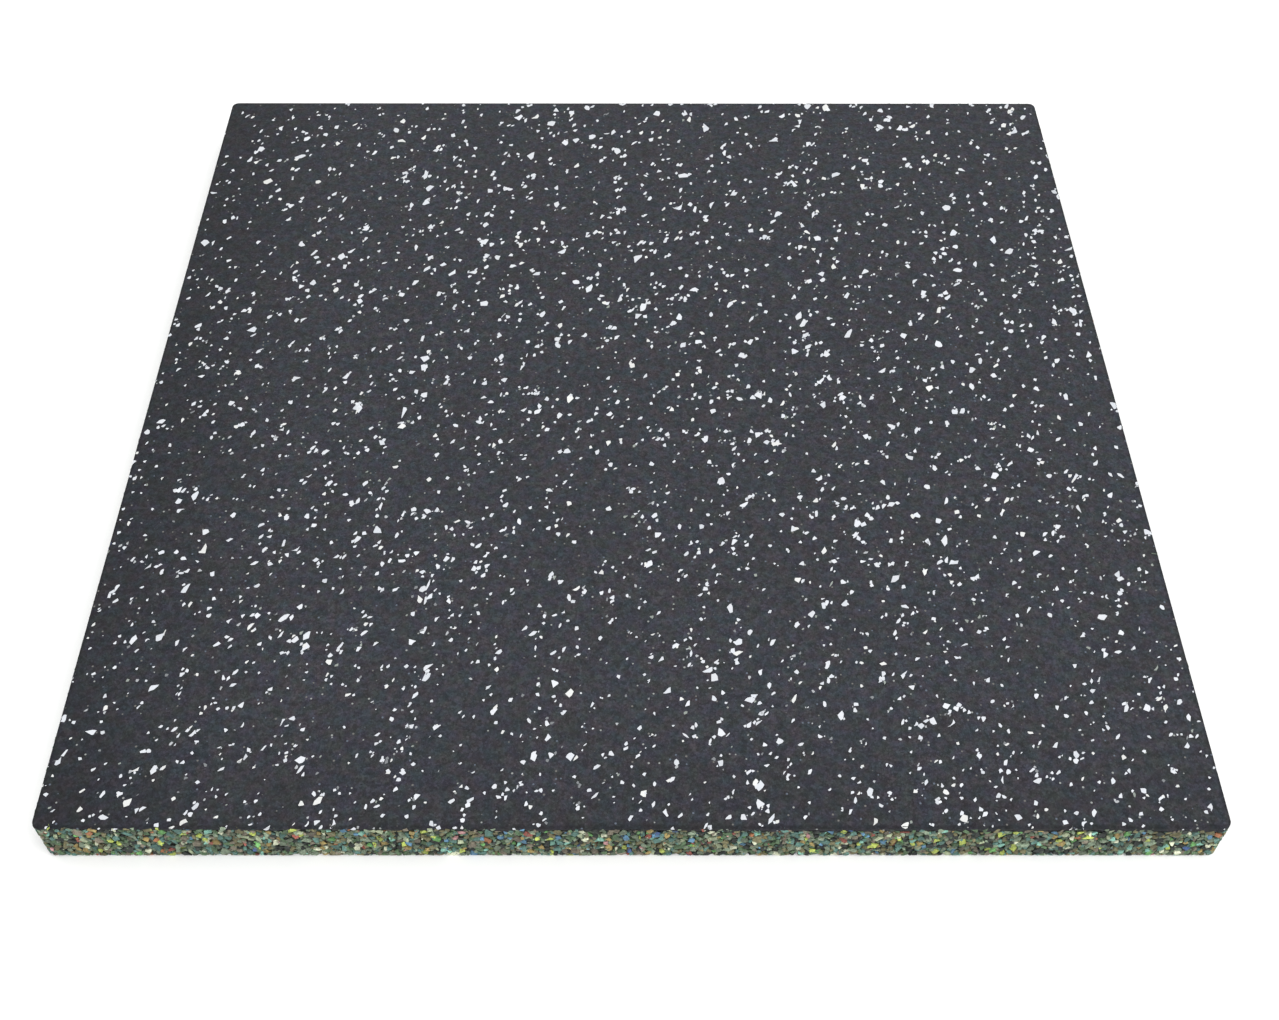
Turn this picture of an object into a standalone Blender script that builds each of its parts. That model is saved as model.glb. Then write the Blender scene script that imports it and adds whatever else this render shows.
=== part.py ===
"""Sports floor tile: a square rubber tile pressed from two layers.

The base layer is a thick slab of bonded coloured granules. A thin wear layer of
dark fine rubber with pale flecks is bonded on top of it. The origin is the centre
of the underside, +Z points up through the wear layer, and +Y points to the back.
"""

import math

import bmesh
import bpy

# Driving dimensions, in metres
TILE_SIDE = 0.500
TILE_THICKNESS = 0.025
WEAR_THICKNESS = 0.002
CORNER_RADIUS = 0.004
TOP_EDGE_RADIUS = 0.0008
FOOT_EDGE_RADIUS = 0.0015
BOND_GAP = 0.0003

CORNER_SEGMENTS = 8
EDGE_SEGMENTS = 4
SMOOTH_ANGLE = math.radians(40)
TOUCH = 1e-6

# Heights that follow from them
WEAR_UNDERSIDE = TILE_THICKNESS - WEAR_THICKNESS
BASE_TOP = WEAR_UNDERSIDE - BOND_GAP


def clear_scene():
    """Remove whatever objects the file starts with."""
    for obj in list(bpy.data.objects):
        bpy.data.objects.remove(obj, do_unlink=True)


def rubber(name, colour, roughness):
    """A plain rubber material."""
    material = bpy.data.materials.new(name)
    material.use_nodes = True
    shader = material.node_tree.nodes["Principled BSDF"]
    shader.inputs["Base Color"].default_value = (*colour, 1.0)
    shader.inputs["Roughness"].default_value = roughness
    shader.inputs["Metallic"].default_value = 0.0
    return material


def upright_edges(bm):
    """The four vertical edges of a box."""
    return [e for e in bm.edges if abs(e.verts[0].co.z - e.verts[1].co.z) > TOUCH]


def rim_edges(bm, height):
    """The edges that run round the slab at one height."""
    return [e for e in bm.edges if all(abs(v.co.z - height) < TOUCH for v in e.verts)]


def round_edges(bm, edges, radius, segments):
    """Round some edges with a circular bevel."""
    bmesh.ops.bevel(
        bm,
        geom=edges,
        offset=radius,
        offset_type="OFFSET",
        segments=segments,
        profile=0.5,
        affect="EDGES",
        clamp_overlap=False,
    )


def pressed_slab(name, thickness, rim_height, rim_radius, material):
    """A square slab with rounded corners and one rounded rim, its underside at z = 0."""
    bm = bmesh.new()
    bmesh.ops.create_cube(bm, size=1.0)
    bmesh.ops.scale(bm, vec=(TILE_SIDE, TILE_SIDE, thickness), verts=bm.verts)
    bmesh.ops.translate(bm, vec=(0.0, 0.0, thickness / 2), verts=bm.verts)
    round_edges(bm, upright_edges(bm), CORNER_RADIUS, CORNER_SEGMENTS)
    round_edges(bm, rim_edges(bm, rim_height), rim_radius, EDGE_SEGMENTS)
    bmesh.ops.recalc_face_normals(bm, faces=bm.faces)

    mesh = bpy.data.meshes.new(name)
    bm.to_mesh(mesh)
    bm.free()
    mesh.materials.append(material)
    mesh.shade_smooth()
    mesh.set_sharp_from_angle(angle=SMOOTH_ANGLE)
    slab = bpy.data.objects.new(name, mesh)
    bpy.context.scene.collection.objects.link(slab)
    return slab


def add_base_layer():
    """The bonded granules: the press leaves its bottom rim rounded."""
    granules = rubber("bonded_granules", (0.125, 0.160, 0.115), 0.85)
    return pressed_slab("base_layer", BASE_TOP, 0.0, FOOT_EDGE_RADIUS, granules)


def add_wear_layer():
    """The flecked sheet that is walked on: its top rim is slightly rounded."""
    flecked = rubber("flecked_wear_rubber", (0.058, 0.062, 0.072), 0.75)
    sheet = pressed_slab(
        "wear_layer", WEAR_THICKNESS, WEAR_THICKNESS, TOP_EDGE_RADIUS, flecked
    )
    sheet.location = (0.0, 0.0, WEAR_UNDERSIDE)
    return sheet


def main():
    clear_scene()
    add_base_layer()
    add_wear_layer()


main()
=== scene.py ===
import math

import bpy
import numpy as np
from mathutils import Matrix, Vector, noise


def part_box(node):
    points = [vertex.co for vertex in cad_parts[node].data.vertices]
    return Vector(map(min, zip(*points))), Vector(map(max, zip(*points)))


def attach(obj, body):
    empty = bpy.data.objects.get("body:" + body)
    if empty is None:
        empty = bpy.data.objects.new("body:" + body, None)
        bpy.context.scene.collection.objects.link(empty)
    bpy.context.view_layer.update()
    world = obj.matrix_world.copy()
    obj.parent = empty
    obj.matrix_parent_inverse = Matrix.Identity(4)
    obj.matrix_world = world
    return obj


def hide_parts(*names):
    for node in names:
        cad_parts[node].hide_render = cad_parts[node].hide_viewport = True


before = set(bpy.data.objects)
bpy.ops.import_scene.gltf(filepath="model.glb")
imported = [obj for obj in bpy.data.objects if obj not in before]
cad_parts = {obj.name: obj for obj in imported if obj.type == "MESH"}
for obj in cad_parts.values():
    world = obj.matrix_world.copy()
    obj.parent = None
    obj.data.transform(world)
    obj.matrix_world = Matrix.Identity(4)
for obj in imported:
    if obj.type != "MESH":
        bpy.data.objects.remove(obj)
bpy.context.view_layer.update()        # the two pressed slabs, in metres with Z up

baseLow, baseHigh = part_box("base_layer")
wearLow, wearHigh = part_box("wear_layer")
print("frame loaded:", sorted(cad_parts))

millimetre = 0.001
hair = 1e-6        # heights that differ by less than this are level
tiny = 1e-12       # keeps a division off zero
facingUp = 0.9     # the least height of an upward face's normal

# The inside of the press mould, which every granule and fleck is squeezed against
mould = {
    "half": wearHigh.x,
    "top": wearHigh.z,
    "cornerRadius": 4.0 * millimetre,
    "rimRadius": 0.8 * millimetre,
    "footRadius": 0.8 * millimetre,  # the granules' own corners round it off further
    "leastRadius": 0.1,              # the part of these radii that even a deep recess leaves
}
sideNames = ("front", "right", "back", "left")

# Where the two layers meet on the edges: higher at two corners, such as the front left one
seam = {
    "rise": 0.6 * millimetre,
    "warp": 1.0 * millimetre,
    "lap": 0.7 * millimetre,         # the sheet runs down behind the topmost granules
}

# Each crumb has a square of its own on the bake map, and these are parts of that square's width
mapSquare = {
    "granuleReach": 0.46,            # how far what can be seen spreads from the middle
    "flakeReach": 0.44,
    "granuleHidden": (0.06, 0.03),   # the place and size of what can't be seen, in one corner
    "flakeHidden": (0.03, 0.01),
    "turnedAway": -0.2,              # a face that looks further into the tile than this is hidden
    "aside": (0.31, 0.57, 0.76),     # a direction that no wall faces, to lay the map out by
}


def deselectAll():
    if bpy.context.mode != "OBJECT":
        bpy.ops.object.mode_set(mode="OBJECT")
    bpy.ops.object.select_all(action="DESELECT")


def linear(red, green, blue):
    # a colour as picked on a screen, 0 to 255, in the numbers a shader takes: the sRGB curve
    parts = [part / 255 for part in (red, green, blue)]
    return tuple(part / 12.92 if part <= 0.04045 else ((part + 0.055) / 1.055) ** 2.4 for part in parts)


def unit(vectors):
    return vectors / np.linalg.norm(vectors, axis=-1, keepdims=True)


def pastOutline(place, half, corner):
    # how far each place lies outside a square with rounded corners, and which way is out
    over = np.abs(place) - (half - corner)
    past = np.clip(over, 0.0, None)
    cornerward = np.linalg.norm(past, axis=1)
    out = cornerward + np.minimum(over.max(1), 0.0) - corner
    straight = np.eye(2)[over.argmax(1)]
    slanted = past / np.maximum(cornerward, tiny)[:, None]
    way = np.where(cornerward[:, None] > 0, slanted, straight) * np.sign(place)
    return out, way


def squeeze(out, height, recess):
    # the mould's section: flat walls with a rounded foot and a rounded rim
    out = np.minimum(out, -recess)
    height = np.clip(height, recess, mould["top"] - recess)
    for radius, level, up in ((mould["footRadius"], 0.0, -1), (mould["rimRadius"], mould["top"], 1)):
        across = out + radius
        rise = up * (height - level) + radius
        far = np.hypot(across, rise)
        room = np.maximum(radius - recess, mould["leastRadius"] * radius)
        cut = (across > 0) & (rise > 0) & (far > room)
        shrink = np.where(cut, room / np.maximum(far, room), 1.0)
        out = across * shrink - radius
        height = level + up * (rise * shrink - radius)
    return out, height


def pressIntoMould(points, recess):
    # moves what lies outside the mould straight onto its wall, less the recess
    out, way = pastOutline(points[:, :2], mould["half"], mould["cornerRadius"])
    wanted, height = squeeze(out, points[:, 2], recess)
    pressed = points.copy()
    pressed[:, :2] += way * (wanted - out)[:, None]
    pressed[:, 2] = height
    return pressed


# The mould's outline in plan is one straight side and the corner after it, four times over
straightRun = 2 * (mould["half"] - mould["cornerRadius"])
sideRun = straightRun + math.pi / 2 * mould["cornerRadius"]


def alongOutline(distance):
    side = np.floor(distance / sideRun).astype(int) % 4
    along = distance % sideRun
    corner = np.clip((along - straightRun) / mould["cornerRadius"], 0.0, None)
    reach = mould["half"] - mould["cornerRadius"]
    away = np.stack([np.sin(corner), -np.cos(corner)], 1)
    place = away * mould["cornerRadius"]
    place += np.stack([np.minimum(along, straightRun) - reach, np.full(len(along), -reach)], 1)
    turn = side * math.pi / 2
    spin = np.stack([np.cos(turn), -np.sin(turn), np.sin(turn), np.cos(turn)], 1).reshape(-1, 2, 2)
    return np.einsum("nij,nj->ni", spin, place), np.einsum("nij,nj->ni", spin, away), side


def onWall(distance, climb):
    # climb is measured up the wall from its rounded foot, and below zero it runs on under the tile
    place, away, side = alongOutline(distance)
    foot = mould["footRadius"]
    angle = np.clip(-climb / foot, 0.0, math.pi / 2)
    under = np.clip(-climb - foot * math.pi / 2, 0.0, None)
    place = place - away * (foot - foot * np.cos(angle) + under)[:, None]
    height = foot - foot * np.sin(angle) + np.clip(climb, 0.0, None)
    outward = np.column_stack([away * np.cos(angle)[:, None], -np.sin(angle)])
    return np.column_stack([place, height]), outward, side


def seamHeight(x, y):
    return wearLow.z + seam["rise"] + seam["warp"] * x * y / mould["half"] ** 2


def packDiscs(dice, radii, width, levels, look):
    # each disc takes the roomiest of a few random places, the largest disc first,
    # and the windows along the strip take turns, so that it fills evenly
    windows = look["windows"]
    low, high = levels
    spots = np.zeros((len(radii), 2))
    window = np.arange(len(radii)) % windows
    for i, radius in enumerate(radii):
        start = window[i] * width / windows
        offers = dice.uniform((start, low), (start + width / windows, high), (look["tries"], 2))
        beside = np.flatnonzero((window[:i] - window[i] + 1) % windows < 3)  # its window and both next to it
        apart = np.abs(offers[:, None] - spots[None, beside])
        apart[..., 0] = np.minimum(apart[..., 0], width - apart[..., 0])
        room = np.hypot(apart[..., 0], apart[..., 1]) - look["crowding"] * (radii[beside] + radius)
        spots[i] = offers[room.min(1).argmax()] if len(beside) else offers[0]
    return spots


def sliceCube(dice, look):
    # slices random corners and edges off the cube in edit mode, and leaves triangles
    for _ in range(look["cuts"]):
        way = unit(dice.normal(size=3) * look["cutLean"])
        at = way * dice.uniform(*look["cutDepth"])
        bpy.ops.mesh.select_all(action="SELECT")
        bpy.ops.mesh.bisect(plane_co=at, plane_no=way, use_fill=True, clear_outer=True)
    bpy.ops.mesh.select_all(action="SELECT")
    bpy.ops.mesh.remove_doubles(threshold=look["merge"])
    bpy.ops.mesh.quads_convert_to_tris(quad_method="BEAUTY", ngon_method="BEAUTY")


def takeMesh(crumb):
    corners = np.array([vertex.co for vertex in crumb.data.vertices])
    faces = np.array([face.vertices[:] for face in crumb.data.polygons])
    bpy.data.objects.remove(crumb)
    return corners, faces


def cutChip(seed, look):
    # a crumb of rubber, its corners at 1 from its middle on average
    dice = np.random.default_rng(seed)
    deselectAll()
    bpy.ops.mesh.primitive_cube_add(size=1.0)
    chip = bpy.context.object
    bpy.ops.object.mode_set(mode="EDIT")
    sliceCube(dice, look)
    bpy.ops.mesh.normals_make_consistent(inside=False)
    bpy.ops.object.mode_set(mode="OBJECT")
    corners, faces = takeMesh(chip)
    corners -= corners.mean(0)
    corners /= np.linalg.norm(corners, axis=1).mean()
    return corners, faces


def cutFlake(seed, look, finer):
    # a flat crumb, its face on z = 0 and as large as a disc of radius 1
    dice = np.random.default_rng(seed)
    thick = look["thickness"]
    deselectAll()
    bpy.ops.mesh.primitive_cube_add(size=1.0, location=(0.0, 0.0, -thick / 2), scale=(1.0, 1.0, thick))
    flake = bpy.context.object
    bpy.ops.object.transform_apply(location=True, rotation=True, scale=True)
    bpy.ops.object.mode_set(mode="EDIT")
    sliceCube(dice, look)
    if finer:
        bpy.ops.mesh.subdivide(number_cuts=finer)
    bpy.ops.mesh.normals_make_consistent(inside=False)
    bpy.ops.object.mode_set(mode="OBJECT")
    area = sum(face.area for face in flake.data.polygons if face.normal.z > facingUp)
    corners, faces = takeMesh(flake)
    return corners / math.sqrt(area / math.pi), faces


def randomTurns(dice, count):
    # from random quaternions, so that one turn is as likely as another
    w, x, y, z = unit(dice.normal(size=(count, 4))).T
    rows = [
        1 - 2 * (y * y + z * z), 2 * (x * y - w * z), 2 * (x * z + w * y),
        2 * (x * y + w * z), 1 - 2 * (x * x + z * z), 2 * (y * z - w * x),
        2 * (x * z - w * y), 2 * (y * z + w * x), 1 - 2 * (x * x + y * y),
    ]
    return np.stack(rows, 1).reshape(-1, 3, 3)


def toSquares(uv, cells, across):
    # from one square for each crumb to a map of them all, so many across
    square = np.stack([cells % across, cells // across], 1)
    return (uv + square[:, None, None]) / across


def layGranules(body, faces, outward, cells, across):
    # spreads the visible side of each granule out as a disc
    aside = unit(np.cross(outward, mapSquare["aside"]))
    other = np.cross(outward, aside)
    ways = unit(body)
    flat = np.stack([np.einsum("nvi,ni->nv", ways, aside), np.einsum("nvi,ni->nv", ways, other)], 2)
    turned = np.arccos(np.clip(np.einsum("nvi,ni->nv", ways, outward), -1, 1)) / math.pi
    spread = mapSquare["granuleReach"] * (1 - (1 - turned) ** 2)
    disc = 0.5 + unit(flat + tiny) * spread[..., None]
    uv = disc[:, faces]
    a, b, c = (body[:, faces[:, i]] for i in range(3))
    facing = np.einsum("nfi,ni->nf", unit(np.cross(b - a, c - a)), outward)
    at, size = mapSquare["granuleHidden"]
    uv = np.where((facing < mapSquare["turnedAway"])[..., None, None], at + size * flat[:, faces], uv)
    return toSquares(uv, cells, across)


def layFlakes(flat, corners, faces, cells, across):
    # the face of each flake fills its square
    reach = np.abs(flat).max((1, 2))[:, None, None, None]
    uv = 0.5 + mapSquare["flakeReach"] * flat[:, faces] / reach
    at, size = mapSquare["flakeHidden"]
    seen = (corners[faces, 2] > -hair).all(1)
    uv = np.where(seen[None, :, None, None], uv, at + size * flat[:, faces])
    return toSquares(uv, cells, across)


def joinParts(name, parts, spots):
    # one mesh of many crumbs: each part has its points, faces, map and crumb numbers
    start = 0
    faceSets = []
    for points, faces, _, _ in parts:
        first = start + np.arange(len(points)) * points.shape[1]
        faceSets.append((faces[None] + first[:, None, None]).reshape(-1, 3))
        start += points.shape[0] * points.shape[1]
    mesh = bpy.data.meshes.new(name)
    allPoints = np.concatenate([points.reshape(-1, 3) for points, _, _, _ in parts])
    mesh.from_pydata(allPoints.tolist(), [], np.concatenate(faceSets).tolist())
    uvMap = mesh.uv_layers.new(name="OFBake")
    uv = np.concatenate([uv.reshape(-1, 2) for _, _, uv, _ in parts])
    uvMap.uv.foreach_set("vector", uv.astype(np.float32).ravel())
    owner = np.concatenate([np.repeat(mine, len(faces)) for _, faces, _, mine in parts])
    for attribute in ("pick", "shade"):
        layer = mesh.attributes.new(attribute, "FLOAT", "FACE")
        layer.data.foreach_set("value", spots[attribute][owner].astype(np.float32))
    piece = bpy.data.objects.new(name, mesh)
    bpy.context.scene.collection.objects.link(piece)
    return piece


nodeSpacing = 190    # of the nodes in the shader editor


def addNode(tree, kind, values=None, **options):
    node = tree.nodes.new(kind)
    node.location = (nodeSpacing * len(tree.nodes), 0)
    for option, choice in options.items():
        setattr(node, option, choice)
    for socket, value in (values or {}).items():
        node.inputs[socket].default_value = value
    return node


def feed(tree, entry, source):
    if isinstance(source, bpy.types.NodeSocket):
        tree.links.new(source, entry)
    else:
        entry.default_value = source


def calculate(tree, operation, *terms):
    node = addNode(tree, "ShaderNodeMath", operation=operation)
    for entry, term in zip(node.inputs, terms):
        feed(tree, entry, term)
    return node.outputs[0]


def multiply(tree, product, *others):
    for other in others:
        product = calculate(tree, "MULTIPLY", product, other)
    return product


def mixColours(tree, factor, first, second):
    node = addNode(tree, "ShaderNodeMix", data_type="RGBA")
    entries = (node.inputs[0], node.inputs[6], node.inputs[7])  # its factor and its two colours
    for entry, source in zip(entries, (factor, first, second)):
        feed(tree, entry, (*source, 1.0) if isinstance(source, tuple) else source)
    return node.outputs[2]


def scaleColour(tree, colour, tone):
    node = addNode(tree, "ShaderNodeVectorMath", operation="SCALE")
    feed(tree, node.inputs[0], colour)
    feed(tree, node.inputs["Scale"], tone)
    return node.outputs[0]


def remap(tree, value, low, high, newLow=0.0, newHigh=1.0):
    node = addNode(tree, "ShaderNodeMapRange", interpolation_type="SMOOTHSTEP")
    for entry, source in zip(node.inputs, (value, low, high, newLow, newHigh)):
        feed(tree, entry, source)
    return node.outputs[0]


def pickColour(tree, pick, stops):
    # each stop's colour holds from its position up to the next one's
    node = addNode(tree, "ShaderNodeValToRGB")
    node.color_ramp.interpolation = "CONSTANT"
    while len(node.color_ramp.elements) < len(stops):
        node.color_ramp.elements.new(1.0)
    for element, (position, colour) in zip(node.color_ramp.elements, stops):
        element.position = position
        element.color = (*linear(*colour), 1.0)
    feed(tree, node.inputs[0], pick)
    return node.outputs[0]


def newGroup(name, inputs, outputs):
    tree = bpy.data.node_groups.new(name, "ShaderNodeTree")
    for label, kind in inputs:
        tree.interface.new_socket(name=label, in_out="INPUT", socket_type=kind)
    for label, kind in outputs:
        tree.interface.new_socket(name=label, in_out="OUTPUT", socket_type=kind)
    return tree, addNode(tree, "NodeGroupInput"), addNode(tree, "NodeGroupOutput")


def useGroup(tree, group, **sources):
    node = addNode(tree, "ShaderNodeGroup", node_tree=group)
    for label, source in sources.items():
        feed(tree, node.inputs[label], source)
    return node


def newMaterial(name):
    material = bpy.data.materials.new(name)
    material.use_nodes = True
    tree = material.node_tree
    return material, tree, tree.nodes["Principled BSDF"]


def objectPlace(tree):
    return addNode(tree, "ShaderNodeTexCoord").outputs["Object"]


def readAttribute(tree, name):
    return addNode(tree, "ShaderNodeAttribute", attribute_name=name).outputs["Fac"]


def finishSurface(tree, shader, look, colour, roughness, height):
    bump = addNode(tree, "ShaderNodeBump", {"Strength": 1.0, "Distance": look["relief"]})
    feed(tree, bump.inputs["Height"], height)
    feed(tree, shader.inputs["Base Color"], colour)
    feed(tree, shader.inputs["Roughness"], roughness)
    feed(tree, shader.inputs["Normal"], bump.outputs[0])
    shader.inputs["Specular IOR Level"].default_value = look["gloss"]


# What the shader groups have alike in every material
patterns = {
    "seamWidth": 0.14,           # of the seam round a crumb, in crumbs
    "crumbRise": 0.6,            # how unevenly the crumbs stand, against a seam's depth
    "stainDetail": 3.0,
    "stainRoughness": 0.55,
    "stainRange": (0.3, 0.7),    # of the noise, from no stain to a full one
    "strayEdge": 1.6,            # a stray crumb fades out from its radius to this many radii
}


# Fine crumb: small cells with a tone each and a seam between them
def makeCrumbGroup():
    tree, given, result = newGroup(
        "rubber crumb",
        (("Place", "NodeSocketVector"), ("Scale", "NodeSocketFloat"),
         ("Contrast", "NodeSocketFloat"), ("Seam", "NodeSocketFloat")),
        (("Tone", "NodeSocketFloat"), ("Height", "NodeSocketFloat")),
    )
    cells = addNode(tree, "ShaderNodeTexVoronoi", feature="F1")
    edges = addNode(tree, "ShaderNodeTexVoronoi", feature="DISTANCE_TO_EDGE")
    for texture in (cells, edges):
        feed(tree, texture.inputs["Vector"], given.outputs["Place"])
        feed(tree, texture.inputs["Scale"], given.outputs["Scale"])
    parts = addNode(tree, "ShaderNodeSeparateColor")
    feed(tree, parts.inputs[0], cells.outputs["Color"])
    groove = remap(tree, edges.outputs["Distance"], 0.0, patterns["seamWidth"], 1.0, 0.0)
    swing = multiply(tree, calculate(tree, "SUBTRACT", parts.outputs[0], 0.5), given.outputs["Contrast"])
    light = calculate(tree, "ADD", 1.0, swing)
    dark = multiply(tree, groove, given.outputs["Seam"])
    rise = multiply(tree, parts.outputs[1], patterns["crumbRise"])
    feed(tree, result.inputs["Tone"], calculate(tree, "SUBTRACT", light, dark))
    feed(tree, result.inputs["Height"], calculate(tree, "SUBTRACT", rise, groove))
    return tree


# Slow changes of tone, as between one batch of crumb and the next
def makeStainGroup():
    tree, given, result = newGroup(
        "slow stain",
        (("Place", "NodeSocketVector"), ("Scale", "NodeSocketFloat"), ("Amount", "NodeSocketFloat")),
        (("Tone", "NodeSocketFloat"), ("Mask", "NodeSocketFloat")),
    )
    texture = {"Detail": patterns["stainDetail"], "Roughness": patterns["stainRoughness"]}
    cloud = addNode(tree, "ShaderNodeTexNoise", texture)
    feed(tree, cloud.inputs["Vector"], given.outputs["Place"])
    feed(tree, cloud.inputs["Scale"], given.outputs["Scale"])
    mask = remap(tree, cloud.outputs["Fac"], *patterns["stainRange"])
    swing = multiply(tree, calculate(tree, "SUBTRACT", mask, 0.5), given.outputs["Amount"])
    feed(tree, result.inputs["Tone"], calculate(tree, "ADD", 1.0, swing))
    feed(tree, result.inputs["Mask"], mask)
    return tree


# Stray crumbs of another colour: where they are, and a number to pick each one's colour by
def makeStrayGroup():
    tree, given, result = newGroup(
        "stray crumbs",
        (("Place", "NodeSocketVector"), ("Scale", "NodeSocketFloat"),
         ("Share", "NodeSocketFloat"), ("Radius", "NodeSocketFloat")),
        (("Mask", "NodeSocketFloat"), ("Pick", "NodeSocketFloat")),
    )
    cells = addNode(tree, "ShaderNodeTexVoronoi", feature="F1")
    feed(tree, cells.inputs["Vector"], given.outputs["Place"])
    feed(tree, cells.inputs["Scale"], given.outputs["Scale"])
    parts = addNode(tree, "ShaderNodeSeparateColor")
    feed(tree, parts.inputs[0], cells.outputs["Color"])
    chosen = calculate(tree, "LESS_THAN", parts.outputs[0], given.outputs["Share"])
    radius = given.outputs["Radius"]
    edge = multiply(tree, radius, patterns["strayEdge"])
    dot = remap(tree, cells.outputs["Distance"], radius, edge, 1.0, 0.0)
    feed(tree, result.inputs["Mask"], multiply(tree, chosen, dot))
    feed(tree, result.inputs["Pick"], parts.outputs[1])
    return tree


# What the base is shredded from: each colour with its share, the plain ones first
granuleColours = {
    "grey green": (0.19, (101, 113, 95)),
    "moss": (0.14, (84, 107, 79)),
    "sage": (0.11, (127, 142, 121)),
    "grey teal": (0.11, (85, 118, 110)),
    "olive": (0.11, (111, 107, 79)),
    "warm grey": (0.07, (117, 110, 96)),
    "ochre": (0.02, (150, 132, 84)),
    # pale sage and cream are partly granule colours and partly painted highlight on the granules' lit edges
    "pale sage and painted highlight": (0.027, (158, 168, 138)),
    "charcoal": (0.108, (46, 51, 48)),
    "cream and painted highlight": (0.023, (196, 200, 174)),
    "lime yellow": (0.014, (176, 190, 96)),
    "grass green": (0.012, (102, 154, 92)),
    "sky blue": (0.019, (92, 132, 160)),
    "deep blue": (0.007, (70, 94, 138)),
    "mint": (0.012, (126, 174, 158)),
    "orange": (0.011, (168, 112, 78)),
    "brick red": (0.008, (142, 82, 72)),
    "pink": (0.004, (182, 138, 138)),
}


def makePaletteGroup():
    tree, given, result = newGroup(
        "granule colours",
        (("Pick", "NodeSocketFloat"),),
        (("Colour", "NodeSocketColor"),),
    )
    total = sum(share for share, _ in granuleColours.values())
    stops = []
    position = 0.0
    for share, colour in granuleColours.values():
        stops.append((position, colour))
        position += share / total
    feed(tree, result.inputs["Colour"], pickColour(tree, given.outputs["Pick"], stops))
    return tree


crumbGroup = makeCrumbGroup()
stainGroup = makeStainGroup()
strayGroup = makeStrayGroup()
paletteGroup = makePaletteGroup()
print("shader groups made")


def addCrumb(tree, place, look):
    return useGroup(
        tree, crumbGroup, Place=place, Scale=look["crumbScale"],
        Contrast=look["crumbContrast"], Seam=look["crumbSeam"],
    )


def addStain(tree, place, scale, amount=1.0):
    # its mask is the same for any amount
    return useGroup(tree, stainGroup, Place=place, Scale=scale, Amount=amount)


def addStrays(tree, place, look):
    return useGroup(
        tree, strayGroup, Place=place, Scale=look["strayScale"],
        Share=look["strayShare"], Radius=look["strayRadius"],
    )


# The thick base. Its granules show on the four edges, pressed flat against the mould
edgeGranules = {
    "count": 10300,
    "radius": 1.26 * millimetre,
    "spread": 0.34,
    "limits": (0.6 * millimetre, 2.7 * millimetre),
    "upright": 1.2,                      # a little taller than wide, as the photo has them
    "crowding": 0.9,
    "tries": 14,
    "windows": 40,
    "underReach": 3.2 * millimetre,      # how far they run on under the tile
    "wearReach": (-2.0 * millimetre, 2.3 * millimetre),  # how high they may end, from the seam
    "middleDepth": (0.25, 0.62),         # of the radius, under the mould's wall
    "largeRecess": 0.16 * millimetre,
    "smallRecess": 0.75 * millimetre,
    "recessBias": (2, 1.5),              # large and small: the higher, the fewer of them lie deep
    "smallShare": 0.45,
    "stretch": 0.2,
    "smallStretch": 0.5,                 # the small ones are thin shreds
    "uneven": 0.07,
    "shade": 0.2,
    "kinds": 12,
    "cuts": 4,
    "cutDepth": (0.3, 0.5),
    "cutLean": (1.0, 1.0, 1.0),
    "merge": 0.03,                       # closer corners of a chip become one
    "pickBias": (0.5, 1.35),             # the large ones are bright more often than the small ones
    "seed": 11,
}


def scatterGranules(dice):
    # a place on the mould's wall, a size and a colour for each granule, the largest first
    look = edgeGranules
    count = look["count"]
    radii = look["radius"] * np.exp(dice.normal(0.0, look["spread"], count))
    radii = np.sort(np.clip(radii, *look["limits"]))[::-1]
    wallTop = wearLow.z - mould["footRadius"]
    climbs = (-look["underReach"] / look["upright"], wallTop / look["upright"])
    spots = packDiscs(dice, radii, 4 * sideRun, climbs, look)
    place, outward, side = onWall(spots[:, 0], spots[:, 1] * look["upright"])
    level = seamHeight(place[:, 0], place[:, 1])
    place[:, 2] *= level / wearLow.z
    rank = np.arange(count) / count
    small = np.clip((rank - 1 + look["smallShare"]) / look["smallShare"], 0.0, 1.0)
    largeBias, smallBias = look["recessBias"]
    recess = look["largeRecess"] * dice.random(count) ** largeBias
    recess += small * look["smallRecess"] * dice.random(count) ** smallBias
    sunk = recess + radii * dice.uniform(*look["middleDepth"], count)
    granules = {
        "middle": place - outward * sunk[:, None],
        "outward": outward,
        "radius": radii,
        "recess": recess,
        "ceiling": level + dice.uniform(*look["wearReach"], count),
        "pick": dice.random(count) ** np.interp(rank, (0.0, 1.0), look["pickBias"]),
        "shade": np.exp(dice.normal(0.0, look["shade"], count)),
        "stretch": look["stretch"] + small * (look["smallStretch"] - look["stretch"]),
    }
    return granules, side


def joinGranules(name, dice, chips, spots):
    # copies the chips to their spots and presses them into the mould
    look = edgeGranules
    count = len(spots["radius"])
    across = math.ceil(math.sqrt(count))
    kinds = dice.integers(len(chips), size=count)
    stretch = np.exp(dice.normal(0.0, 1.0, (count, 3)) * spots["stretch"][:, None])
    stretch /= np.cbrt(stretch.prod(1))[:, None]
    turns = randomTurns(dice, count)
    parts = []
    for kind, (corners, faces) in enumerate(chips):
        mine = np.flatnonzero(kinds == kind)
        uneven = dice.normal(0.0, look["uneven"], (len(mine), len(corners), 3))
        body = np.einsum("nij,nvj->nvi", turns[mine], corners * stretch[mine, None] + uneven)
        body[..., 2] *= look["upright"]
        points = spots["middle"][mine, None] + body * spots["radius"][mine, None, None]
        points[..., 2] = np.minimum(points[..., 2], spots["ceiling"][mine, None])
        recess = np.repeat(spots["recess"][mine], len(corners))
        points = pressIntoMould(points.reshape(-1, 3), recess).reshape(points.shape)
        uv = layGranules(body, faces, spots["outward"][mine], mine, across)
        parts.append((points, faces, uv, mine))
    return joinParts(name, parts, spots)


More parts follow.
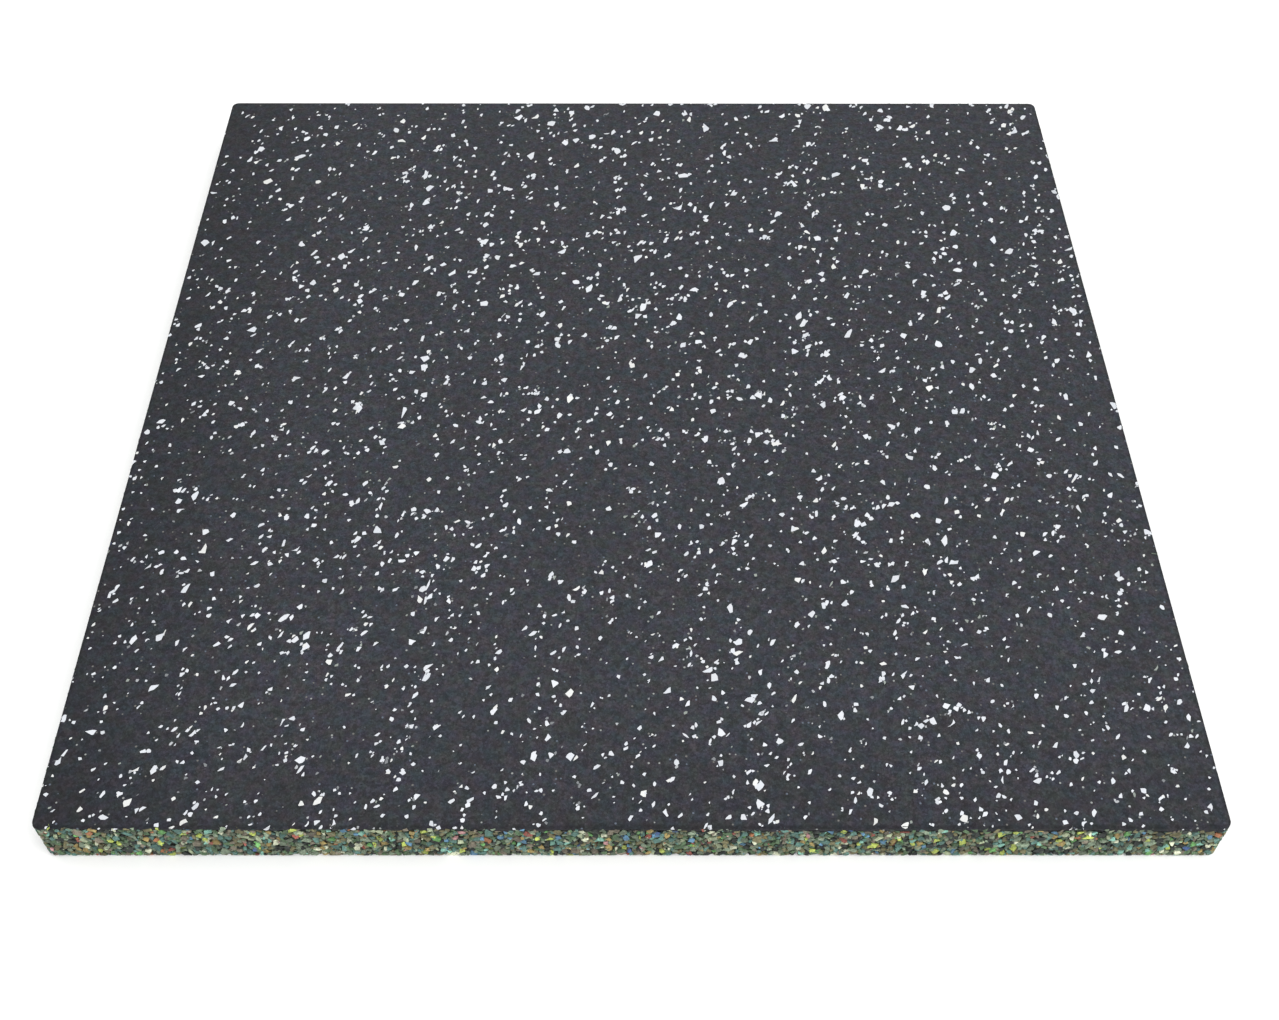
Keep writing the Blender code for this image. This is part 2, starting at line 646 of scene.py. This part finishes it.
def makeEdgeGranules():
    look = edgeGranules
    dice = np.random.default_rng(look["seed"])
    chips = [cutChip(look["seed"] + kind, look) for kind in range(look["kinds"])]
    granules, side = scatterGranules(dice)
    pieces = []
    for index, name in enumerate(sideNames):
        spots = {label: values[side == index] for label, values in granules.items()}
        pieces.append(joinGranules(f"edge_granules_{name}", dice, chips, spots))
    return pieces


granuleFinish = {
    "crumbScale": 1200.0,
    "crumbContrast": 0.5,
    "crumbSeam": 0.25,
    "strayScale": 800.0,
    "strayShare": 0.14,
    "strayRadius": 0.3,
    "stainScale": 420.0,
    "stainAmount": 0.36,
    "roughness": (0.62, 0.88),
    "gloss": 0.35,
    "relief": 0.05 * millimetre,
}


def granuleColour(tree, place, pick):
    # a granule's own colour, with crumbs of others that the binder holds on its face
    own = useGroup(tree, paletteGroup, Pick=pick).outputs["Colour"]
    stray = addStrays(tree, place, granuleFinish)
    other = useGroup(tree, paletteGroup, Pick=stray.outputs["Pick"]).outputs["Colour"]
    return mixColours(tree, stray.outputs["Mask"], own, other)


def makeGranuleMaterial():
    look = granuleFinish
    material, tree, shader = newMaterial("pressed granules")
    place = objectPlace(tree)
    colour = granuleColour(tree, place, readAttribute(tree, "pick"))
    crumb = addCrumb(tree, place, look)
    stain = addStain(tree, place, look["stainScale"], look["stainAmount"])
    tone = multiply(tree, readAttribute(tree, "shade"), crumb.outputs["Tone"], stain.outputs["Tone"])
    roughness = remap(tree, stain.outputs["Mask"], 0.0, 1.0, *look["roughness"])
    colour = scaleColour(tree, colour, tone)
    finishSurface(tree, shader, look, colour, roughness, crumb.outputs["Height"])
    return material


# The body behind them, and the underside with its pressed mosaic of granules
core = {
    "inset": 0.95 * millimetre,
    "footInset": 2.2 * millimetre,
    "cornerSegments": 6,
    "granuleScale": 262.0,
    "warpScale": 700.0,
    "warpDetail": 1.0,
    "warp": 0.9 * millimetre,
    "seamWidth": 0.11,
    "seamTone": 0.22,
    "tone": (0.72, 1.22),
    "wallShadeAndBinder": 0.34,          # darker above the foot: painted shade in the gaps between the edge granules, and dark binder
    "roughness": 0.8,
    "gloss": 0.35,
    "relief": 0.25 * millimetre,
    "crumbRelief": 0.2,        # of that, for the fine crumb
}


def selectEdges(piece, wanted):
    bpy.ops.mesh.select_all(action="DESELECT")
    bpy.ops.object.mode_set(mode="OBJECT")
    for edge in piece.data.edges:
        edge.select = wanted(*(piece.data.vertices[v].co for v in edge.vertices))
    bpy.ops.object.mode_set(mode="EDIT")
    bpy.ops.mesh.select_mode(type="EDGE")


def slabFromCube(name, half, low, high):
    deselectAll()
    size = (2 * half, 2 * half, high - low)
    bpy.ops.mesh.primitive_cube_add(size=1.0, location=(0.0, 0.0, (low + high) / 2), scale=size)
    slab = bpy.context.object
    slab.name = name
    bpy.ops.object.transform_apply(location=True, rotation=True, scale=True)
    bpy.ops.object.mode_set(mode="EDIT")
    return slab


def isUpright(a, b):
    return abs(a.z - b.z) > hair


def makeCore():
    half = mould["half"] - core["inset"]
    low = baseLow.z
    slab = slabFromCube("granule_core", half, low, baseHigh.z + seam["rise"] + seam["warp"])
    selectEdges(slab, isUpright)
    bpy.ops.mesh.bevel(offset=mould["cornerRadius"] - core["inset"], segments=core["cornerSegments"])
    selectEdges(slab, lambda a, b: max(a.z, b.z) < low + hair)
    bpy.ops.mesh.bevel(offset=core["footInset"], segments=1)
    bpy.ops.object.mode_set(mode="OBJECT")
    return slab


def makeCoreMaterial():
    look = core
    material, tree, shader = newMaterial("granule mosaic")
    place = objectPlace(tree)

    # a noise, less its mean, bends the granules' outlines
    warp = addNode(tree, "ShaderNodeTexNoise", {"Scale": look["warpScale"], "Detail": look["warpDetail"]})
    feed(tree, warp.inputs["Vector"], place)
    centred = addNode(tree, "ShaderNodeVectorMath", {1: (0.5, 0.5, 0.5)}, operation="SUBTRACT")
    feed(tree, centred.inputs[0], warp.outputs["Color"])
    bent = addNode(tree, "ShaderNodeVectorMath", {1: (2 * look["warp"],) * 3}, operation="MULTIPLY_ADD")
    feed(tree, bent.inputs[0], centred.outputs[0])
    feed(tree, bent.inputs[2], place)

    cells = addNode(tree, "ShaderNodeTexVoronoi", feature="F1")
    edges = addNode(tree, "ShaderNodeTexVoronoi", feature="DISTANCE_TO_EDGE")
    for texture in (cells, edges):
        feed(tree, texture.inputs["Vector"], bent.outputs[0])
        feed(tree, texture.inputs["Scale"], look["granuleScale"])
    parts = addNode(tree, "ShaderNodeSeparateColor")
    feed(tree, parts.inputs[0], cells.outputs["Color"])
    colour = granuleColour(tree, place, parts.outputs[0])
    crumb = addCrumb(tree, place, granuleFinish)
    face = remap(tree, edges.outputs["Distance"], 0.0, look["seamWidth"], look["seamTone"], 1.0)
    shade = remap(tree, parts.outputs[1], 0.0, 1.0, *look["tone"])
    height = addNode(tree, "ShaderNodeSeparateXYZ")
    feed(tree, height.inputs[0], place)
    # painted shade with dark binder: the walls, seen in the gaps of the edges, darker than the underside
    depth = remap(tree, height.outputs["Z"], 0.0, look["footInset"], 1.0, look["wallShadeAndBinder"])
    tone = multiply(tree, shade, face, crumb.outputs["Tone"], depth)
    lift = calculate(tree, "ADD", face, multiply(tree, crumb.outputs["Height"], look["crumbRelief"]))
    finishSurface(tree, shader, look, scaleColour(tree, colour, tone), look["roughness"], lift)
    return material


granulePieces = makeEdgeGranules()
granuleMaterial = makeGranuleMaterial()
for piece in granulePieces:
    piece.data.materials.append(granuleMaterial)
    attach(piece, "root")
corePiece = makeCore()
corePiece.data.materials.append(makeCoreMaterial())
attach(corePiece, "root")
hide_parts("base_layer")
print("base layer made:", sum(len(piece.data.polygons) for piece in granulePieces), "faces of granules")

# The thin flecked layer on top
wearSheet = {
    "inset": 0.04 * millimetre,      # the flecks stand up to this much prouder on top
    "sideInset": 0.18 * millimetre,  # and on the sides the topmost granules overlap it
    "cornerSegments": 8,
    "rimSegments": 5,
    "smoothAngle": 40.0,             # degrees
    "waveCuts": 100,
    "waveLength": 3.0 * millimetre,
    "waveHeight": 2.6 * millimetre,
    "rimClear": 1.1,                 # in rim radii, how near the top the waves may come
    "blueTint": (47, 53, 66),
    "brownTint": (57, 55, 55),
    "greenTint": (47, 58, 57),
    "violetTint": (59, 52, 62),
    "blueScale": 180.0,
    "violetScale": 190.0,
    "tintMix": 0.5,
    "crumbScale": 1000.0,
    "crumbContrast": 0.6,
    "crumbSeam": 0.22,
    "stainScale": 38.0,
    "stainAmount": 0.22,
    "patchScale": 240.0,
    "patchAmount": 0.42,
    "strayScale": 430.0,             # the finest specks, too small to be flecks
    "strayShare": 0.13,
    "strayRadius": 0.16,
    "strayColours": (
        (0.0, (106, 105, 102)), (0.35, (92, 100, 112)), (0.6, (144, 147, 145)), (0.85, (40, 40, 44)),
    ),
    "paintedRimShadeBand": (2.4 * millimetre, 0.8 * millimetre),  # from the edge, where the painted shade on the rim starts and is full
    # the tone of the painted shade at the rim
    "paintedRimShade": 0.68,
    # painted shade: the rubber darker towards the left and the front edge
    "leftShadeMargin": (120.0 * millimetre, 0.68),      # the width and tone of the darker margins in the photo
    "frontShadeMargin": (90.0 * millimetre, 0.84),
    "roughness": (0.68, 0.82),
    "gloss": 0.2,
    "relief": 0.06 * millimetre,
}


def makeWearSheet():
    look = wearSheet
    half = mould["half"] - look["sideInset"] - look["inset"]
    top = mould["top"] - look["inset"]
    sheet = slabFromCube("wear_sheet", half, baseHigh.z, top)
    selectEdges(sheet, isUpright)
    bpy.ops.mesh.bevel(offset=mould["cornerRadius"] - look["sideInset"], segments=look["cornerSegments"])
    selectEdges(sheet, lambda a, b: min(a.z, b.z) > top - hair)
    bpy.ops.mesh.bevel(offset=mould["rimRadius"] - look["inset"], segments=look["rimSegments"])

    # the granules under it push its lower edge up and down
    low = baseHigh.z + hair
    selectEdges(sheet, lambda a, b: max(a.z, b.z) < low and (a - b).length > mould["half"])
    bpy.ops.mesh.subdivide(number_cuts=look["waveCuts"])
    bpy.ops.object.mode_set(mode="OBJECT")
    highest = mould["top"] - look["rimClear"] * mould["rimRadius"]
    for vertex in sheet.data.vertices:
        if vertex.co.z < low:
            wave = look["waveHeight"] * noise.noise(vertex.co / look["waveLength"])
            edge = seamHeight(vertex.co.x, vertex.co.y) - seam["lap"] + wave
            vertex.co.z = min(edge, highest)
    bpy.ops.object.shade_smooth_by_angle(angle=math.radians(look["smoothAngle"]))
    return sheet


def wearTint(tree, place):
    # charcoal that drifts between four tints
    look = wearSheet
    blue = addStain(tree, place, look["blueScale"]).outputs["Mask"]
    violet = addStain(tree, place, look["violetScale"]).outputs["Mask"]
    bluish = mixColours(tree, blue, linear(*look["blueTint"]), linear(*look["brownTint"]))
    greenish = mixColours(tree, violet, linear(*look["greenTint"]), linear(*look["violetTint"]))
    return mixColours(tree, look["tintMix"], bluish, greenish)


# painted shade: the rubber darkens towards the rim
def paintedRimShade(tree, place):
    # the binder darkens the rim, where the mould squeezes it out
    size = addNode(tree, "ShaderNodeVectorMath", operation="ABSOLUTE")
    feed(tree, size.inputs[0], place)
    sides = addNode(tree, "ShaderNodeSeparateXYZ")
    feed(tree, sides.inputs[0], size.outputs[0])
    farthest = calculate(tree, "MAXIMUM", sides.outputs["X"], sides.outputs["Y"])
    start, full = (mould["half"] - inwards for inwards in wearSheet["paintedRimShadeBand"])
    return remap(tree, farthest, start, full, 1.0, wearSheet["paintedRimShade"])


def paintedShadeMargins(tree, place):
    # painted shade: two margins are a little darker than the rest, most of all at the edge
    across = addNode(tree, "ShaderNodeSeparateXYZ")
    feed(tree, across.inputs[0], place)
    tones = []
    for axis, (width, tone) in (("X", wearSheet["leftShadeMargin"]), ("Y", wearSheet["frontShadeMargin"])):
        marginShade = remap(tree, across.outputs[axis], -mould["half"], width - mould["half"], 1.0, 0.0)
        marginShade = multiply(tree, marginShade, marginShade)
        tones.append(calculate(tree, "MULTIPLY_ADD", marginShade, tone - 1.0, 1.0))
    return tones


def makeWearMaterial():
    look = wearSheet
    material, tree, shader = newMaterial("charcoal wear rubber")
    place = objectPlace(tree)
    crumb = addCrumb(tree, place, look)
    stain = addStain(tree, place, look["stainScale"], look["stainAmount"])
    patch = addStain(tree, place, look["patchScale"], look["patchAmount"])
    tone = multiply(tree, crumb.outputs["Tone"], stain.outputs["Tone"], patch.outputs["Tone"])
    # painted shade on the rim and along two margins
    tone = multiply(tree, tone, paintedRimShade(tree, place), *paintedShadeMargins(tree, place))
    rubber = scaleColour(tree, wearTint(tree, place), tone)
    speck = addStrays(tree, place, look)
    speckColour = pickColour(tree, speck.outputs["Pick"], look["strayColours"])
    colour = mixColours(tree, speck.outputs["Mask"], rubber, speckColour)
    roughness = remap(tree, stain.outputs["Mask"], 0.0, 1.0, *look["roughness"])
    finishSurface(tree, shader, look, colour, roughness, crumb.outputs["Height"])
    return material


# Pale flecks, pressed level with the sheet and over its rim
flecks = {
    "count": 5100,
    "radius": 0.69 * millimetre,
    "spread": 0.4,
    "limits": (0.28 * millimetre, 1.9 * millimetre),
    "besideShare": 0.12,             # so many lie beside another, touching or nearly
    "besideGap": (0.85, 1.8),        # in the sum of the two radii
    "besideTurn": 3.0,               # which side of it they lie on, from a fleck's own turn
    "recess": 0.03 * millimetre,
    "mostDepth": 1.1 * millimetre,   # how far into the rubber the largest reach
    "long": (0.2, 0.18),             # how much longer than wide, and how that varies
    "lean": (51.0, 20.0),            # degrees from the front edge: the way most of them are long
    "lengthwise": (1.14, 0.1),       # longer from front to back, and more so towards the back
    "coarser": 0.15,                 # they are larger and fewer towards the back
    "bend": 0.13,
    "uneven": 0.05,
    "shade": 0.05,
    "kinds": 14,
    "thickness": 0.5,                # of the width that they are cut from
    "cuts": 5,
    "cutDepth": (0.33, 0.48),
    "cutLean": (1.0, 1.0, 0.1),      # the cuts go down through the flake
    "merge": 0.05,                   # closer corners of a flake become one
    "rimCuts": 3,                    # those on the rim have more faces, to fold over it
    "farthest": 1.7,                 # a corner's distance from the middle, in radii
    "seed": 47,
    "dimRadius": 0.8 * millimetre,   # a larger fleck is never dim
    "dimFrom": 0.78,
    "colours": (
        (0.0, (212, 215, 220)), (0.42, (206, 210, 216)), (0.68, (217, 218, 216)),
        (0.78, (170, 173, 176)), (0.88, (124, 127, 130)), (0.95, (142, 149, 143)),
    ),
    "crumbScale": 3200.0,
    "crumbContrast": 0.06,
    "crumbSeam": 0.05,
    "roughness": 0.7,
    "gloss": 0.3,
    "relief": 0.02 * millimetre,
}


def overRim(spread):
    # folds a flat sheet down over the rim: spread is x and y on the sheet before it is folded
    inset = wearSheet["sideInset"]
    out, way = pastOutline(spread, mould["half"] - inset, mould["cornerRadius"] - inset)
    rim = mould["rimRadius"]
    run = np.clip(out + rim, 0.0, None)
    angle = np.minimum(run / rim, math.pi / 2)
    down = np.clip(run - rim * math.pi / 2, 0.0, None)
    wanted = np.where(run > 0, rim * np.sin(angle) - rim, out)
    place = spread + way * (wanted - out)[:, None]
    height = mould["top"] - rim + rim * np.cos(angle) - down
    outward = np.column_stack([way * np.sin(angle)[:, None], np.cos(angle)])
    return np.column_stack([place, height]), outward


def turnFlat(points, angles):
    cosine, sine = np.cos(angles)[:, None], np.sin(angles)[:, None]
    x, y = points[..., 0], points[..., 1]
    return np.stack([x * cosine - y * sine, x * sine + y * cosine], 2)


def scatterFlecks(dice):
    # a place, a size and a shape for each fleck, on the sheet before it is folded over its rim
    look = flecks
    count = look["count"]
    radii = look["radius"] * np.exp(dice.normal(0.0, look["spread"], count))
    radii = np.clip(radii, *look["limits"])
    edge = mould["half"] + wearHigh.z - wearLow.z - mould["rimRadius"]
    middle = dice.uniform(-edge, edge, (count, 2))
    spin = dice.uniform(0.0, 2 * math.pi, count)
    alone = dice.random(count) > look["besideShare"]
    host = dice.choice(np.flatnonzero(alone), count)
    gap = (radii + radii[host]) * dice.uniform(*look["besideGap"], count)
    towards = look["besideTurn"] * spin
    beside = middle[host] + gap[:, None] * np.stack([np.cos(towards), np.sin(towards)], 1)
    middle = np.where(alone[:, None], middle, np.clip(beside, -edge, edge))
    level = middle[:, 1] / edge
    middle[:, 1] -= look["coarser"] * edge * (1 - level ** 2)
    radii *= 1 + look["coarser"] * level
    return {
        "middle": middle,
        "radius": radii,
        "spin": spin,
        "lengthwise": look["lengthwise"][0] + look["lengthwise"][1] * level,
        "long": np.exp(dice.normal(*look["long"], count)),
        "lean": np.radians(dice.normal(*look["lean"], count)),
        "bend": dice.normal(0.0, look["bend"], count),
        "recess": look["recess"] * dice.random(count),
        "kind": dice.integers(look["kinds"], size=count),
    }


def shapeFlakes(corners, uneven, spots):
    # the plan of one flake for each of these flecks, turned, stretched and bent in its own way
    flat = turnFlat(corners[None, :, :2] + uneven, spots["spin"])
    flat = flat * np.stack([spots["long"], 1 / spots["long"]], 1)[:, None]
    flat[..., 1] += spots["bend"][:, None] * flat[..., 0] ** 2
    flat = turnFlat(flat, spots["lean"])
    flat[..., 1] *= spots["lengthwise"][:, None]
    return flat


def pressFlakes(flat, corners, spots):
    # lays them on the sheet and over its rim, and sinks each by its depth
    radius = spots["radius"][:, None]
    spread = spots["middle"][:, None] + flat * radius[..., None]
    place, outward = overRim(spread.reshape(-1, 2))
    depth = np.minimum(-corners[:, 2] * radius, flecks["mostDepth"]) + spots["recess"][:, None]
    return (place - outward * depth.reshape(-1, 1)).reshape(*flat.shape[:2], 3)


def makeFlecks():
    look = flecks
    dice = np.random.default_rng(look["seed"])
    everything = scatterFlecks(dice)

    # the flecks that reach the rounded rim, from the top or from the side
    radii = everything["radius"]
    reach = look["farthest"] * radii
    out = np.abs(everything["middle"]).max(1) - mould["half"] + wearSheet["sideInset"]
    onRim = (out + reach > -mould["rimRadius"])
    onRim &= (out - reach < (math.pi / 2 - 1) * mould["rimRadius"])

    across = math.ceil(math.sqrt(look["count"]))
    parts = []
    for kind in range(look["kinds"]):
        for finer in (0, look["rimCuts"]):
            corners, faces = cutFlake(look["seed"] + kind, look, finer)
            mine = np.flatnonzero((everything["kind"] == kind) & (onRim == bool(finer)))
            spots = {label: values[mine] for label, values in everything.items()}
            uneven = dice.normal(0.0, 0.0 if finer else look["uneven"], (len(mine), len(corners), 2))
            flat = shapeFlakes(corners, uneven, spots)
            points = pressFlakes(flat, corners, spots)
            parts.append((points, faces, layFlakes(flat, corners, faces, mine, across), mine))
    pick = dice.random(look["count"])
    everything["pick"] = np.where(radii > look["dimRadius"], pick * look["dimFrom"], pick)
    everything["shade"] = np.exp(dice.normal(0.0, look["shade"], look["count"]))
    return joinParts("pale_flecks", parts, everything)


def makeFleckMaterial():
    look = flecks
    material, tree, shader = newMaterial("pale flecks")
    colour = pickColour(tree, readAttribute(tree, "pick"), look["colours"])
    crumb = addCrumb(tree, objectPlace(tree), look)
    tone = multiply(tree, readAttribute(tree, "shade"), crumb.outputs["Tone"])
    colour = scaleColour(tree, colour, tone)
    finishSurface(tree, shader, look, colour, look["roughness"], crumb.outputs["Height"])
    return material


sheetPiece = makeWearSheet()
sheetPiece.data.materials.append(makeWearMaterial())
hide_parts("wear_layer")
fleckPiece = makeFlecks()
fleckPiece.data.materials.append(makeFleckMaterial())
for piece in (sheetPiece, fleckPiece):
    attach(piece, "root")
print("wear layer made:", flecks["count"], "flecks")

# A white room with one wide soft light over the front right corner
studio = {
    "floorSize": 80.0,
    "floorColour": (253, 253, 253),
    "floorRoughness": 0.95,
    "floorGloss": 0.05,
    "floorDrop": 0.05 * millimetre,
    "skyColour": (1.0, 1.0, 1.0, 1.0),
    "skyStrength": 1.0,
    "lampPlace": (0.6, -0.75, 1.95),
    "lampSize": 1.6,
    "lampPower": 20.0,
}


def makeStudio():
    deselectAll()
    bpy.ops.mesh.primitive_plane_add(size=studio["floorSize"], location=(0.0, 0.0, -studio["floorDrop"]))
    floor = bpy.context.object
    floor.name = "floor"
    material, _, shader = newMaterial("pale floor")
    shader.inputs["Base Color"].default_value = (*linear(*studio["floorColour"]), 1.0)
    shader.inputs["Roughness"].default_value = studio["floorRoughness"]
    shader.inputs["Specular IOR Level"].default_value = studio["floorGloss"]
    floor.data.materials.append(material)

    world = bpy.data.worlds.new("white room")
    world.use_nodes = True
    background = world.node_tree.nodes["Background"]
    background.inputs["Color"].default_value = studio["skyColour"]
    background.inputs["Strength"].default_value = studio["skyStrength"]
    bpy.context.scene.world = world

    bpy.ops.object.light_add(type="AREA", location=studio["lampPlace"])
    lamp = bpy.context.object
    lamp.name = "soft_lamp"
    lamp.data.shape = "DISK"
    lamp.data.size = studio["lampSize"]
    lamp.data.energy = studio["lampPower"]
    lamp.rotation_euler = (-lamp.location).to_track_quat("-Z", "Y").to_euler()
    bpy.context.scene.view_settings.view_transform = "Standard"


# The photo's viewpoint. The angles are in degrees, and the pitch is downwards
shot = {
    "place": (0.002, -0.5478, 0.5956),
    "pitch": 50.59,
    "yaw": -0.16,
    "roll": 0.14,
    "lens": 42.74,
    "sensor": 36.0,
    "nearest": 0.01,     # in metres, closer than anything in view
}


def makeCamera():
    bpy.ops.object.camera_add(location=shot["place"])
    camera = bpy.context.object
    camera.name = "camera"
    turn = Matrix.Rotation(math.radians(shot["yaw"]), 4, "Z")
    tip = Matrix.Rotation(math.radians(90 - shot["pitch"]), 4, "X")
    lean = Matrix.Rotation(math.radians(shot["roll"]), 4, "Z")
    camera.rotation_euler = (turn @ tip @ lean).to_euler()
    camera.data.lens = shot["lens"]
    camera.data.sensor_width = shot["sensor"]
    camera.data.clip_start = shot["nearest"]
    bpy.context.scene.camera = camera


makeStudio()
makeCamera()
print("studio and camera made")
